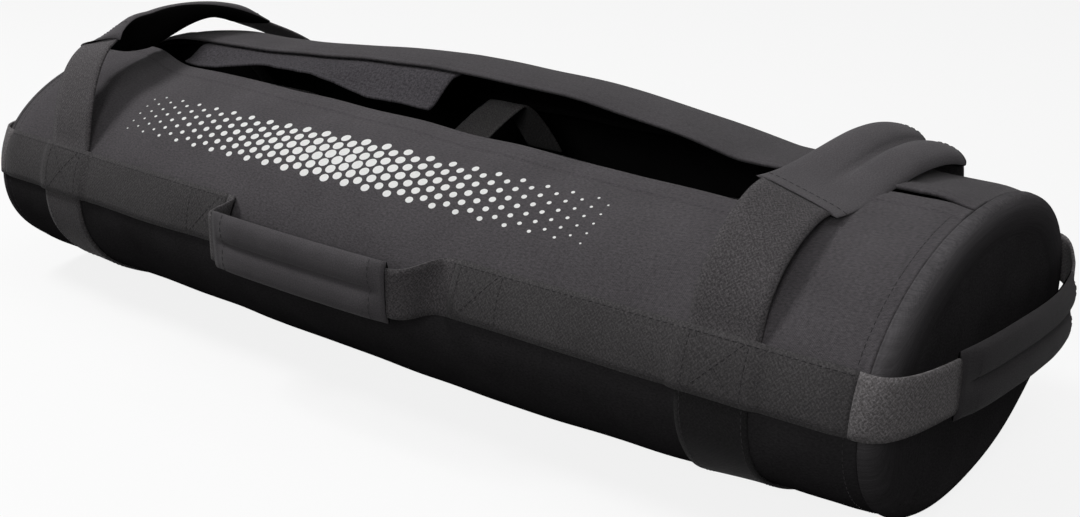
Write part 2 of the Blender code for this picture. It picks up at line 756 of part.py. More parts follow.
def build_filler(number, pivot):
    name = f"filler_{number}"
    middle = (number - (FILLER_COUNT + 1) / 2) * FILLER_PITCH
    skin = pillow(middle, -1, 1, 0, open_mouth=True)
    thicken(add_object(name + "_skin", skin, "filler_fabric", pivot), FILLER_WALL, -1)
    sand = pillow(middle, SAND_LEFT_SHARE, SAND_RIGHT_SHARE, SAND_INSET, open_mouth=False)
    add_object(f"sand_fill_{number}", sand, "sand", pivot)

    tape = bmesh.new()
    bmesh.ops.create_cube(tape, size=1)
    bmesh.ops.scale(tape, verts=tape.verts, vec=(MOUTH_TAPE_LENGTH, MOUTH_TAPE_WIDTH, MOUTH_TAPE_WALL))
    mouth = Vector((middle + (FILLER_LENGTH - MOUTH_TAPE_LENGTH) / 2 - GAP, 0, filler_centre()))
    bmesh.ops.translate(tape, verts=tape.verts, vec=mouth)
    add_object(name + "_mouth_tape", tape, "hook_and_loop", pivot)

    top = filler_centre() + FILLER_HEIGHT / 2 + GAP + PULL_STRAP_WALL / 2
    share = (2 * PULL_STRAP_HALF / FILLER_WIDTH) ** (1 / ROUND_SHARE)
    seat = top - FILLER_HEIGHT / 2 * (1 - (1 - share ** 2) ** (ROUND_SHARE / 2)) + GAP
    handle = Vector((0, PULL_STRAP_HALF * 2 / 3, (top + PULL_STRAP_RISE - seat) * 4 / 3))
    knots = arched([(Vector((middle + PULL_STRAP_X, -PULL_STRAP_HALF, seat)), handle, handle)])
    across = Vector((1, 0, 0))
    stations = [(point, across, PULL_STRAP_WIDTH) for point in smooth_path(knots, [SLEEVE_STEPS])]
    webbing(name + "_pull_strap", flat_rows(stations), PULL_STRAP_WALL, pivot)


def build():
    bag = add_pivot("bag_centre", Vector((0, 0, 0)))
    build_shell(bag)
    build_hook_tape(bag)
    hinge = surface_point(0, HINGE_ANGLE)
    flap = add_pivot("flap_hinge", hinge)
    build_flap(flap)
    build_tongue(flap)
    for end, word in ((LEFT, "left"), (RIGHT, "right")):
        build_end_panel(end, "end_panel_" + word, bag)
        build_binding(end, "end_binding_" + word, bag)
        build_girth_strap(end, "girth_strap_" + word, bag)
        build_belt(NEAR, end, "belt_front_" + word, bag)
        build_belt(FAR, end, "belt_back_" + word, bag)
        build_end_handle(end, "end_handle_" + word)
    build_top_handle(LEFT, "top_handle_left", (LEFT_NEAR_Y, LEFT_NEAR_RISE, LEFT_NEAR_CLIMB, LEFT_NEAR_TILT),
                     (LEFT_FAR_Y, LEFT_FAR_RISE, LEFT_FAR_CLIMB, LEFT_FAR_TILT), LEFT_SHIFT, 0)
    build_top_handle(RIGHT, "top_handle_right",
                     (RIGHT_NEAR_Y, RIGHT_NEAR_RISE, RIGHT_NEAR_CLIMB, RIGHT_NEAR_TILT),
                     (RIGHT_FAR_Y, RIGHT_FAR_RISE, RIGHT_FAR_CLIMB, RIGHT_FAR_TILT), RIGHT_SHIFT, RIGHT_YAW_SHIFT)
    build_side_handle(NEAR, "front_handle")
    build_side_handle(FAR, "back_handle")
    for number in range(1, FILLER_COUNT + 1):
        build_filler(number, bag)


build()
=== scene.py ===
# Looks of the sandbag trainer: woven shell, webbing, padded sleeves and filler bags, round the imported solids.
import math

import bpy
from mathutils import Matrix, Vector, noise
from mathutils.geometry import interpolate_bezier


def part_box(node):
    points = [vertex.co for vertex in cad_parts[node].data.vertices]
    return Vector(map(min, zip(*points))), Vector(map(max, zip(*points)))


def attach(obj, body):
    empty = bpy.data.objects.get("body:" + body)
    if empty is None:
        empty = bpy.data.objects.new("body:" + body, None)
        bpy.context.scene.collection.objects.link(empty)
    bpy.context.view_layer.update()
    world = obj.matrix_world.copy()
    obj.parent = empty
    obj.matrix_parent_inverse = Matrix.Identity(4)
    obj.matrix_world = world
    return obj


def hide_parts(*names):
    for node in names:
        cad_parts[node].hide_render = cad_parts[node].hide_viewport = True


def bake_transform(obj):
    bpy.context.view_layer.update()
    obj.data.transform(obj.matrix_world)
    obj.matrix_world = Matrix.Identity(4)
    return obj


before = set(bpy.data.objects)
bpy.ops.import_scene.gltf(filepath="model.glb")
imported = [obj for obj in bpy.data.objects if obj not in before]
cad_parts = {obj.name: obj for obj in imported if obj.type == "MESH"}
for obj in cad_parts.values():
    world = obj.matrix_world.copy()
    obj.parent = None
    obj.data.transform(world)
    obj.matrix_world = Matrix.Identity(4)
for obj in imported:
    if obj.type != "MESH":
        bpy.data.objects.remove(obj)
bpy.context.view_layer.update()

# Sizes of the solids, in metres
HALF_LENGTH = 0.350
BAG_WIDTH, BAG_HEIGHT = 0.279, 0.170
BASE_Z, FLAT_DEPTH, BARREL, ROUND = 0.0020, 0.0050, 0.03, 0.95
SHELL_WALL, GAP = 0.0020, 0.0003
MOUTH_HALF, SLIT_CLOSED = 0.235, 0.312
HINGE = math.radians(140.0)
FAR_EDGE = math.radians(87.0)
NEAR_LEFT, NEAR_RIGHT, NEAR_END = math.radians(76.0), math.radians(66.5), math.radians(86.2)
LIFT_START, LEFT_LIFT, RIGHT_LIFT, LEFT_DROP = 0.255, 0.0015, 0.0055, 0.0052
FLAP_RISE, FLAP_PEAK, FLAP_CREST = 0.0225, -0.027, 0.75
FLAP_LEFT, FLAP_RIGHT = (0.315, 1.2, 1.0), (0.235, 2.8, 1.25)
BELT_WIDTH, BELT_WALL, BELT_Z, BELT_END = 0.032, 0.0016, 0.1025, 0.346
STRAP_WIDTH, STRAP_WALL, STRAP_X = 0.042, 0.0017, 0.272
SIDE_BASE_X, SIDE_SLEEVE, SIDE_OUT, SIDE_BOW, SIDE_PULL = 0.098, 0.0735, 0.0285, 0.0015, 0.019
END_SLEEVE, END_OUT, END_BOW, END_PULL, END_FLARE = 0.082, 0.027, 0.0090, 0.022, 0.005
SIDE_WEB = 0.030

# Sizes of the scene's own cloth: walls, the height where the shell's two fabrics meet, the hems' rows of thread,
# the rows under the shell's edge at the fold, and how deep they lie
CLOTH_WALL, END_WALL, TAPE_WALL, STRIP_WALL = 0.0018, 0.0016, 0.0014, 0.0015
SEAM_Z = 0.0970
HEM_ROWS = (0.0120, 0.0035)
FOLD_ROWS, FOLD_LIFT = (0.0042, 0.0028, 0.0014, 0.0004), -0.0022

# Puffed ends: how far out the rolled seam ridge, the shoulder and the dome go, and the share where the dome starts
END_RIDGE, END_SHOULDER, END_DOME, END_MIDDLE = 0.0022, 0.0078, 0.0012, 0.88

# Thread: a stitch's length and pitch, its half thickness, and its height over the cloth
STITCH, STITCH_PITCH, THREAD, THREAD_LIFT = 0.0032, 0.0042, 0.00024, 0.0001

# Sleeves: width and thickness, and how tight they are. A handle's path has LEG, GRIP and LEG steps
TOP_PAD, SIDE_PAD, PAD_FILL = (0.050, 0.0116), (0.038, 0.0112), 0.7
LEG, GRIP = 18, 40

# Filler bags: pitch, half length, floor, half width and half height of the body and of the flat ends
FILLER_PITCH, FILLER_HALF, FILLER_FLOOR, FILLER_FILL = 0.228, 0.111, 0.0043, 0.8
FILLER_WIDE, FILLER_HIGH, SLOT_WIDE, SLOT_HIGH = 0.120, 0.065, 0.085, 0.0028
FILLER_CENTRE = FILLER_FLOOR + FILLER_HIGH - 0.003
STRAP_FOOT, STRAP_HALF = 0.070, 0.015

# Printed dots: columns, rows, pitch, radius, the band's left end and angle, and the bag's radius there
DOT_COLUMNS, DOT_ROWS, DOT_PITCH, DOT_SIZE = 45, 5, 0.0090, 0.0043
PRINT_LEFT, PRINT_ANGLE, PRINT_RADIUS = -0.226, math.radians(46.0), 0.134


# Numbers

def mix(low, high, share):
    return low + (high - low) * share


def smooth(low, high, value):
    share = min(max((value - low) / (high - low), 0.0), 1.0)
    return share * share * (3 - 2 * share)


def power(value, exponent):
    return math.copysign(abs(value) ** exponent, value)


def bell(value, centre, width):
    return math.exp(-((value - centre) / width) ** 2)


def spread(low, high, cells):
    return [mix(low, high, i / cells) for i in range(cells + 1)]


# The bag's surface. Angle 0 is the near side, 90 degrees the top and 180 the far side

def section(x):
    """Half width, half height and the centre's height at x."""
    share = (x / HALF_LENGTH) ** 2
    lift, drop = (LEFT_LIFT, LEFT_DROP) if x < 0 else (RIGHT_LIFT, 0.0)
    bottom = BASE_Z - FLAT_DEPTH + lift * smooth(LIFT_START, HALF_LENGTH, abs(x))
    half_height = (BAG_HEIGHT - drop * share - bottom) / 2
    return BAG_WIDTH / 2 * (1 - BARREL * share), half_height, bottom + half_height


def puff(x, a):
    """Soft swells and dips of filled cloth, which die out at the floor and at the end seams, and the sag of the
    lower near side, squeezed by the straps."""
    swell = 0.0005 * math.sin(x * 31 + 1.3) * math.sin(2 * a + 0.7)
    swell += 0.0003 * math.sin(x * 67 + 0.4 + 1.6 * math.sin(a))
    swell += 0.0010 * noise.noise(Vector((x * 20, math.cos(a) * 2.6, math.sin(a) * 2.6)))
    swell -= 0.0006 * bell(abs(x), 0.114, 0.028) * smooth(-0.3, 0.5, math.sin(a))
    swell *= 1 - smooth(0.300, 0.338, abs(x))
    seam = 0.0020 * smooth(0.330, 0.350, abs(x)) ** 2
    sag = 0.0026 * bell(x, 0.07, 0.14) - 0.0022 * bell(abs(x), STRAP_X, 0.05)
    sag -= 0.0012 * bell(x, -0.17, 0.08) + 0.0020 * bell(x, 0.30, 0.04)
    return (swell - seam) * smooth(-0.97, -0.6, math.sin(a)) + sag * bell(math.sin(a), -0.79, 0.22)


def normal(x, a):
    half_width, half_height, _ = section(x)
    return Vector((0, -power(math.cos(a), 2 - ROUND) / half_width,
                   power(math.sin(a), 2 - ROUND) / half_height)).normalized()


def skin(x, a, lift=0.0):
    """The point at x and angle a, lift metres over the cloth. The underside lies flat."""
    half_width, half_height, centre = section(x)
    point = Vector((x, -half_width * power(math.cos(a), ROUND), centre + half_height * power(math.sin(a), ROUND)))
    point += normal(x, a) * (lift + puff(x, a))
    point.z = max(point.z, BASE_Z - lift)
    return point


def angle_at(x, height):
    _, half_height, centre = section(x)
    return math.asin(power((height - centre) / half_height, 1 / ROUND))


def near_edge(x):
    along = min(max((x + MOUTH_HALF) / (2 * MOUTH_HALF), 0.0), 1.0)
    closed = 0.330 if x < 0 else SLIT_CLOSED
    return mix(mix(NEAR_LEFT, NEAR_RIGHT, along), NEAR_END, smooth(MOUTH_HALF, closed, abs(x)))


def flap_lift(x, a):
    """How far the flap arches over the bag, with a hump towards its left end and a raised lip at the right."""
    reach, bend, fade = FLAP_LEFT if x < FLAP_PEAK else FLAP_RIGHT
    along = min(abs(x - FLAP_PEAK) / reach, 1.0)
    across = min(max((HINGE - a) / (HINGE - FAR_EDGE), 0.0), 1.0)
    arch = math.sin(across / FLAP_CREST * math.pi / 2)
    rise = FLAP_RISE * (1 - along ** bend) ** fade * arch
    hump = 0.0060 * smooth(-0.335, -0.290, x) * (1 - smooth(-0.270, -0.180, x))
    hump += 0.0009 * (1 - smooth(0.180, 0.250, abs(x)))
    rise += hump * arch
    lip = 0.0022 * smooth(0.285, 0.305, x) * (1 - smooth(0.325, 0.346, x)) * smooth(0.8, 1.0, across)
    return Vector((0, 0, rise + lip))


# Materials

def node(tree, kind, inputs=None, **settings):
    made = tree.nodes.new(kind)
    for key, value in settings.items():
        setattr(made, key, value)
    for key, value in (inputs or {}).items():
        if isinstance(value, bpy.types.NodeSocket):
            tree.links.new(value, made.inputs[key])
        else:
            made.inputs[key].default_value = value
    return made


def maths(tree, operation, a, b=0.0):
    return node(tree, "ShaderNodeMath", {0: a, 1: b}, operation=operation).outputs[0]


def grains(tree, place, scale, detail=2.0, rough=0.6):
    made = node(tree, "ShaderNodeTexNoise", {"Vector": place, "Scale": scale, "Detail": detail, "Roughness": rough})
    return made.outputs["Fac"]


def ramp(tree, value, low, high, out_low, out_high):
    made = node(tree, "ShaderNodeMapRange", {"Value": value, "From Min": low, "From Max": high,
                                             "To Min": out_low, "To Max": out_high})
    return made.outputs["Result"]


def flecks(tree, place, scale):
    """Short slanted flecks both ways, as in coarse webbing."""
    split = node(tree, "ShaderNodeSeparateXYZ", {0: place})
    ways = []
    for sign in (1.0, -1.0):
        slant = maths(tree, "MULTIPLY", split.outputs[1], sign)
        along = maths(tree, "MULTIPLY", maths(tree, "ADD", split.outputs[0], slant), 0.50)
        across = maths(tree, "SUBTRACT", split.outputs[0], slant)
        way = node(tree, "ShaderNodeCombineXYZ", {0: along, 1: across, 2: sign * 0.1})
        ways.append(grains(tree, way.outputs[0], scale, 3.0, 0.7))
    return maths(tree, "MAXIMUM", *ways)


def fabric(name, dark, light, pitch, coarse=False, weave_height=0.5, speck=900.0, bump=0.5, rough=0.9,
           sheen=0.06, streak=1.0, worn=0.10, gloss=0.06):
    """Woven cloth: threads, speckle in the yarn, slow fading, and small rumples. The attribute "cloth" holds the
    place along and across the threads, and the share by which the cloth is painted paler there, or darker below
    zero: painted light and painted shade, and at the end's seam ridge partly the shell's paler cloth."""
    material = bpy.data.materials.new(name)
    material.use_nodes = True
    tree = material.node_tree
    shader = tree.nodes["Principled BSDF"]
    place = node(tree, "ShaderNodeAttribute", attribute_name="cloth", attribute_type="GEOMETRY").outputs["Vector"]
    split = node(tree, "ShaderNodeSeparateXYZ", {0: place})
    turn = 2 * math.pi / pitch
    warp = maths(tree, "SINE", maths(tree, "MULTIPLY", split.outputs[0], turn))
    weft = maths(tree, "SINE", maths(tree, "MULTIPLY", split.outputs[1], turn))
    threads = maths(tree, "MULTIPLY", warp, weft)
    stretched = node(tree, "ShaderNodeVectorMath", {0: place, 1: (streak, 1.0, 1.0)}, operation="MULTIPLY")
    yarn = grains(tree, stretched.outputs[0], speck, 3.0, 0.75)
    if coarse:
        yarn = ramp(tree, flecks(tree, place, speck), 0.44, 0.70, 0.25, 0.75)
    faded = grains(tree, place, 24.0, 5.0, 0.6)
    rumple = grains(tree, place, 70.0, 3.0, 0.5)
    share = maths(tree, "ADD", ramp(tree, yarn, 0.30, 0.70, 0.0, 0.9), maths(tree, "MULTIPLY", threads, 0.12))
    colour = node(tree, "ShaderNodeMix", {"Factor": share, "A": (*dark, 1), "B": (*light, 1)}, data_type="RGBA",
                  clamp_factor=True)
    # The third share of "cloth" scales the colour along with the slow fading: painted light and painted shade.
    tint = maths(tree, "MULTIPLY", ramp(tree, faded, 0.3, 0.7, 1 - worn, 1 + worn),
                 maths(tree, "ADD", split.outputs[2], 1.0))
    toned = node(tree, "ShaderNodeVectorMath", {0: colour.outputs["Result"], 3: tint}, operation="SCALE")
    tree.links.new(toned.outputs[0], shader.inputs["Base Color"])
    height = maths(tree, "ADD", maths(tree, "MULTIPLY", threads, weave_height), yarn)
    fine = node(tree, "ShaderNodeBump", {"Height": height, "Strength": bump, "Distance": 0.0004})
    soft = node(tree, "ShaderNodeBump", {"Height": rumple, "Strength": 0.45, "Distance": 0.0010,
                                         "Normal": fine.outputs[0]})
    tree.links.new(soft.outputs[0], shader.inputs["Normal"])
    tree.links.new(ramp(tree, yarn, 0.3, 0.7, rough - 0.06, rough + 0.04), shader.inputs["Roughness"])
    shader.inputs["Sheen Weight"].default_value = sheen
    shader.inputs["Sheen Roughness"].default_value = 0.5
    shader.inputs["Specular IOR Level"].default_value = gloss
    return material


def coarse_webbing(name, dark, light, **settings):
    return fabric(name, dark, light, 0.0024, coarse=True, weave_height=0.3, speck=800.0, rough=0.86, **settings)


LOOKS = {
    "bag_fabric": fabric("bag_fabric", (0.046, 0.0425, 0.046), (0.112, 0.104, 0.111), 0.0011, streak=0.5),
    "base_fabric": fabric("base_fabric", (0.020, 0.019, 0.020), (0.040, 0.038, 0.040), 0.0009, streak=0.6,
                          bump=0.3, sheen=0.0, worn=0.14, gloss=0.0),
    # The darkest look: the lining, and painted shade on the back of the sleeves.
    "lining_and_painted_shade": fabric("lining_and_painted_shade", (0.008, 0.008, 0.008), (0.015, 0.0145, 0.015), 0.0011, sheen=0.0,
                         gloss=0.0),
    "webbing": coarse_webbing("webbing", (0.042, 0.039, 0.041), (0.128, 0.120, 0.124), bump=0.6),
    "belt_webbing": coarse_webbing("belt_webbing", (0.038, 0.036, 0.037), (0.092, 0.087, 0.089), bump=0.45),
    # A paler copy of the webbing for the end handles: painted light.
    "painted_light_webbing": coarse_webbing("painted_light_webbing", (0.080, 0.075, 0.076), (0.240, 0.226, 0.232), bump=0.6),
    "dim_webbing": coarse_webbing("dim_webbing", (0.010, 0.0095, 0.010), (0.028, 0.0265, 0.0275), sheen=0.02),
    "sleeve_fabric": fabric("sleeve_fabric", (0.060, 0.056, 0.060), (0.128, 0.120, 0.127), 0.0009, speck=1100.0,
                            bump=0.35),
    "hook_and_loop": fabric("hook_and_loop", (0.022, 0.020, 0.023), (0.105, 0.098, 0.108), 0.0016, speck=520.0,
                            bump=1.0, rough=0.97, sheen=0.03),
    "filler_fabric": fabric("filler_fabric", (0.030, 0.029, 0.030), (0.060, 0.058, 0.060), 0.0008, rough=0.75,
                            sheen=0.05),
    "inner_webbing": coarse_webbing("inner_webbing", (0.10, 0.095, 0.096), (0.26, 0.25, 0.25), bump=0.6),
    "thread": fabric("thread", (0.038, 0.036, 0.038), (0.060, 0.057, 0.060), 0.0006, rough=0.7, sheen=0.0),
    "sand": fabric("sand", (0.30, 0.22, 0.13), (0.66, 0.55, 0.38), 0.0014, bump=1.0, rough=0.97, sheen=0.0),
    "ink": fabric("ink", (0.78, 0.78, 0.77), (0.92, 0.92, 0.91), 0.0011, bump=0.3, rough=0.7, sheen=0.0,
                  worn=0.03),
}


# Meshes

def make_piece(name, points, faces, places, look):
    mesh = bpy.data.meshes.new(name)
    mesh.from_pydata([tuple(p) for p in points], [], faces)
    attribute = mesh.attributes.new("cloth", "FLOAT_VECTOR", "POINT")
    attribute.data.foreach_set("vector", [c for place in places for c in (*place, 0.0)[:3]])
    mesh.materials.append(LOOKS[look])
    mesh.shade_smooth()
    piece = bpy.data.objects.new(name, mesh)
    bpy.context.scene.collection.objects.link(piece)
    return piece


def grid_faces(rows, columns, closed):
    faces = []
    for i in range(rows - 1):
        for j in range(columns if closed else columns - 1):
            k = (j + 1) % columns
            faces.append((i * columns + j, i * columns + k, (i + 1) * columns + k, (i + 1) * columns + j))
    return faces


def cloth_grid(name, rows, places, look, outward, wall=0.0, offset=-1.0, closed=False, lining=None,
               second=None):
    """Rows of points as one sheet whose faces look along outward(centre). second is another look and the test
    (row, column) for the faces that have it."""
    columns = len(rows[0])
    faces = grid_faces(len(rows), columns, closed)
    points = [p for row in rows for p in row]
    total = 0.0
    for face in faces[:: max(1, len(faces) // 200)]:
        a, b, c = (points[face[k]] for k in range(3))
        total += (b - a).cross(c - a).dot(outward((a + b + c) / 3))
    if total < 0:
        faces = [face[::-1] for face in faces]
    piece = make_piece(name, points, faces, [p for row in places for p in row], look)
    if second:
        piece.data.materials.append(LOOKS[second[0]])
        across = columns if closed else columns - 1
        for polygon in piece.data.polygons:
            polygon.material_index = int(second[1](polygon.index // across, polygon.index % across))
    if wall:
        solid = piece.modifiers.new("wall", "SOLIDIFY")
        solid.thickness, solid.offset, solid.use_even_offset = wall, offset, True
        if lining:
            piece.data.materials.append(LOOKS[lining])
            solid.material_offset = 2 if second else 1
    return piece


def from_axis(centre):
    return Vector((0, centre.y, centre.z - section(min(max(centre.x, -HALF_LENGTH), HALF_LENGTH))[2]))


def arc_places(rows, start=0.0):
    """Cloth coordinates of rows of points: u along the first row's x, v as length along each row."""
    places = []
    for row in rows:
        v, line = start, []
        for i, point in enumerate(row):
            if i:
                v += (point - row[i - 1]).length
            line.append((point.x, v))
        places.append(line)
    return places


def path_places(rows, width):
    """Cloth coordinates of webbing: u along the path, v across it."""
    u, places, last = 0.0, [], None
    for row in rows:
        middle = (row[0] + row[-1]) / 2
        if last is not None:
            u += (middle - last).length
        last = middle
        places.append([(u, width * j / (len(row) - 1)) for j in range(len(row))])
    return places


def stitch_piece(name, runs):
    """Sewn thread as short pills along runs of (point, normal)."""
    points, faces, places = [], [], []
    for run in runs:
        walked, goal = 0.0, STITCH_PITCH / 2
        for (a, n), (b, _) in zip(run, run[1:]):
            length = (b - a).length
            while length > 1e-9 and walked + length >= goal:
                centre = a.lerp(b, (goal - walked) / length)
                ahead = (b - a).normalized()
                side = n.cross(ahead).normalized()
                first = len(points)
                points.append(centre - ahead * STITCH / 2 - n * THREAD * 0.6)
                for share in (-0.3, 0.3):
                    ring = centre + ahead * STITCH * share
                    for up, across in ((1, 0), (0, 1), (-1, 0), (0, -1)):
                        points.append(ring + (n * up + side * across) * THREAD)
                points.append(centre + ahead * STITCH / 2 - n * THREAD * 0.6)
                for k in range(4):
                    m = (k + 1) % 4
                    faces.append((first, first + 1 + m, first + 1 + k))
                    faces.append((first + 1 + k, first + 1 + m, first + 5 + m, first + 5 + k))
                    faces.append((first + 9, first + 5 + k, first + 5 + m))
                places += [(p.x, p.y + p.z) for p in points[first:]]
                goal += STITCH_PITCH
            walked += length
    return make_piece(name, points, faces, places, "thread")


def on_skin(xs, angle, lift, shift=None):
    """A run of thread at angle(x), moved by shift(x, angle)."""
    return [(skin(x, angle(x), lift) + (shift(x, angle(x)) if shift else Vector()), normal(x, angle(x)))
            for x in xs]


# Outer bag

def shell_xs():
    """Stations along the bag, closer at both end seams."""
    fine = [0.350, 0.3485, 0.3465, 0.344, 0.341, 0.338]
    return [-x for x in fine] + spread(-0.334, 0.334, 134) + fine[::-1]


# Distances of the hem's rows of points from its edge, and the bag's radius that makes them angles
HEM = [0.0165, 0.0150, 0.0142, 0.0135, 0.0120, 0.0100, 0.0075, 0.0050, 0.0035, 0.0020, 0.0008, 0.0]
RADIUS = 0.137


def hem_lift(d):
    """Doubled cloth within 14 mm of an edge, pulled down along two rows of thread."""
    lift = 0.0009 * (1 - smooth(0.0135, 0.0152, d))
    for row in HEM_ROWS:
        lift -= 0.0004 * bell(d, row, 0.0011)
    return lift - 0.0006 * (1 - smooth(0.0, 0.0015, d))


def build_shell():
    rows, turn = [], 2 * math.pi
    for x in shell_xs():
        edge, seam = turn + near_edge(x), angle_at(x, SEAM_Z)
        angles = spread(HINGE, math.pi - seam, 12) + spread(math.pi - seam, turn + seam, 72)[1:]
        angles += spread(turn + seam, edge - HEM[0] / RADIUS, 28)[1:]
        row = [skin(x, a) for a in angles]
        row += [skin(x, edge - d / RADIUS, hem_lift(d)) for d in HEM[1:]]
        rows.append(row)
    piece = cloth_grid("bag_shell", rows, arc_places(rows), "bag_fabric", from_axis, CLOTH_WALL,
                       lining="lining_and_painted_shade", second=("base_fabric", lambda i, j: 12 <= j < 84))
    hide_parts("shell_body")
    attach(piece, "bag")


def far_panel(low, high, name):
    """Half the flap, from low to high, with a row of points close to the edge where the halves meet. It bends from
    the bag at start to the flap's body at end."""
    rows = []
    xs = [low] + [x for x in shell_xs() if low + 0.0008 < x < high - 0.0008] + [high]
    inner = low if low > -HALF_LENGTH else high
    xs = sorted(xs + [inner + math.copysign(0.0004, -inner + (low + high) / 2)])
    for x in xs:
        row = [skin(x, HINGE + back / RADIUS, FOLD_LIFT) for back in FOLD_ROWS]
        row += [skin(x, a) + flap_lift(x, a) for a in spread(HINGE, FAR_EDGE + HEM[0] / RADIUS, 26)]
        for d in HEM[1:]:
            a = FAR_EDGE + d / RADIUS
            row.append(skin(x, a, hem_lift(d)) + flap_lift(x, a))
        rows.append(row)
    # The flap is darkened by a share of 0.14 against the shell's same cloth: painted shade.
    places = [[(u, v, -0.14) for u, v in line] for line in arc_places(rows)]
    piece = cloth_grid(name, rows, places, "bag_fabric", from_axis, CLOTH_WALL, lining="lining_and_painted_shade")
    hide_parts("closure_flap")
    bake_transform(piece)
    hem = stitch_piece(name + "_stitches", [on_skin(spread(low, high, 90), lambda x: FAR_EDGE + d / RADIUS,
                                                    -THREAD_LIFT, flap_lift) for d in HEM_ROWS])
    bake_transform(hem)


def build_end(side, word):
    """The puffed end: a rolled seam ridge, then a soft wide shoulder and a slightly domed middle. Its colour is
    made paler all over and paler still along the ridge's upper part: painted light, and at the ridge partly the
    shell's paler cloth.
    """
    count, rings = 144, 24
    seam = side * HALF_LENGTH
    centre = Vector((0, 0, section(seam)[2]))
    profile = [(0.0001, 0.986), (0.0003, 0.993), (0.0007, 0.9965), (0.0012, 0.9975), (0.0017, 0.9965)]
    for i in range(rings + 1):
        turn = i / rings * math.pi / 2
        profile.append((END_RIDGE + END_SHOULDER * math.sin(turn), mix(END_MIDDLE, 0.994, math.cos(turn))))
    for i in range(1, 21):
        size = END_MIDDLE * (1 - i / 20)
        dome = END_DOME * (1 - (size / END_MIDDLE) ** 2)
        profile.append((END_RIDGE + END_SHOULDER + dome, max(size, 0.002)))
    rows = []
    for out, size in profile:
        row = []
        for k in range(count):
            a = k / count * 2 * math.pi
            rim = skin(seam, a)
            rim.x = 0
            rim += normal(seam, a) * 0.0007
            dimple = 0.0013 * noise.noise(Vector((side * 3, math.cos(a) * size * 1.8, math.sin(a) * size * 1.8)))
            point = centre.lerp(rim, size)
            low = (0.0050 if side < 0 else -0.0020) * (1 - smooth(0.02, 0.10, point.z))
            point.x = side * (HALF_LENGTH + out + low * smooth(0.0005, 0.006, out)
                              + dimple * smooth(0.002, 0.008, out))
            row.append(point)
        rows.append(row)
    # Painted light: the whole end is paler by a share of 0.45, and a band at the seam ridge is paler by up to 2.1,
    # faded out towards the floor; at the ridge this is partly the shell's paler cloth round the shoulder and partly
    # painted light on its upper side.
    places = [[(p.y, p.z, mix(0.45, 2.1, smooth(0.74, 0.965, size) * smooth(0.03, 0.15, p.z))) for p in row]
              for row, (_, size) in zip(rows, profile)]
    piece = cloth_grid("end_cloth_" + word, rows, places, "base_fabric",
                       lambda c: Vector((side, 0, 0)), END_WALL, closed=True, lining="lining_and_painted_shade")
    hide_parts("end_panel_" + word)
    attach(piece, "bag")


def build_binding(side, word):
    xs = [side * (HALF_LENGTH - 0.002 - 0.013 * i / 6) for i in range(7)]
    rows = [[skin(x, k / 120 * 2 * math.pi, -0.0026) for k in range(120)] for x in xs]
    piece = cloth_grid("seam_tape_" + word, rows, arc_places(rows), "webbing", from_axis, TAPE_WALL,
                       closed=True)
    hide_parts("end_binding_" + word)
    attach(piece, "bag")


# Closure

def build_hook_tape():
    rows = [[skin(x, near_edge(x) - math.radians(a), -SHELL_WALL - GAP) for a in spread(17.0, 1.5, 14)]
            for x in spread(-0.222, 0.222, 110)]
    piece = cloth_grid("hook_strip", rows, arc_places(rows), "hook_and_loop", from_axis,
                       TAPE_WALL)
    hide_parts("hook_tape")
    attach(piece, "bag")


def build_tongue():
    """The fuzzy tongue, sewn under the flap's edge, which hangs to just over the near edge with a raised wave."""
    rows = []
    for x in spread(-0.258, -0.006, 84):
        root = [skin(x, FAR_EDGE + math.radians(a), -0.0028) + flap_lift(x, FAR_EDGE + math.radians(a))
                for a in (5.5, 3.0, 0.0)]
        wave = smooth(-0.245, -0.150, x) * (1 - 0.62 * smooth(-0.115, -0.060, x))
        reach = max(-0.036 + 0.0008 * math.sin(x * 140), skin(x, near_edge(x)).y + 0.003)
        stop = Vector((x, reach, 0.1665 + 0.0125 * wave))
        row = list(root)
        for share in spread(0.0, 1.0, 18)[1:]:
            point = root[-1].lerp(stop, share)
            point.z = mix(root[-1].z, stop.z, smooth(0, 1, share))
            point.z += 0.0005 * noise.noise(Vector((x * 90, share * 4, 3.0)))
            row.append(point)
        rows.append(row)
    piece = cloth_grid("loop_strip", rows, arc_places(rows), "hook_and_loop",
                       lambda c: Vector((0, 0, 1)), STRIP_WALL)
    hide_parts("loop_tongue")
    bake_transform(piece)


# Belt and girth straps

def belt_lift(x):
    """The belt lies on the bag, and rises over the girth straps."""
    return GAP + (1 - smooth(0, 0.006, abs(abs(x) - STRAP_X) - 0.0213)) * (STRAP_WALL + GAP)


def belt_row(x, side, lift=0.0):
    """Points across the belt. Side is -1 for the near side and 1 for the far side."""
    row = []
    for a in spread(angle_at(x, BELT_Z - BELT_WIDTH / 2), angle_at(x, BELT_Z + BELT_WIDTH / 2), 8):
        row.append(skin(x, a if side < 0 else math.pi - a, belt_lift(x) + lift))
    return row


def belt_thread(x, height, side):
    """The point and normal of thread on the belt."""
    a = angle_at(x, height)
    a = a if side < 0 else math.pi - a
    return skin(x, a, belt_lift(x) + BELT_WALL + THREAD_LIFT), normal(x, a)


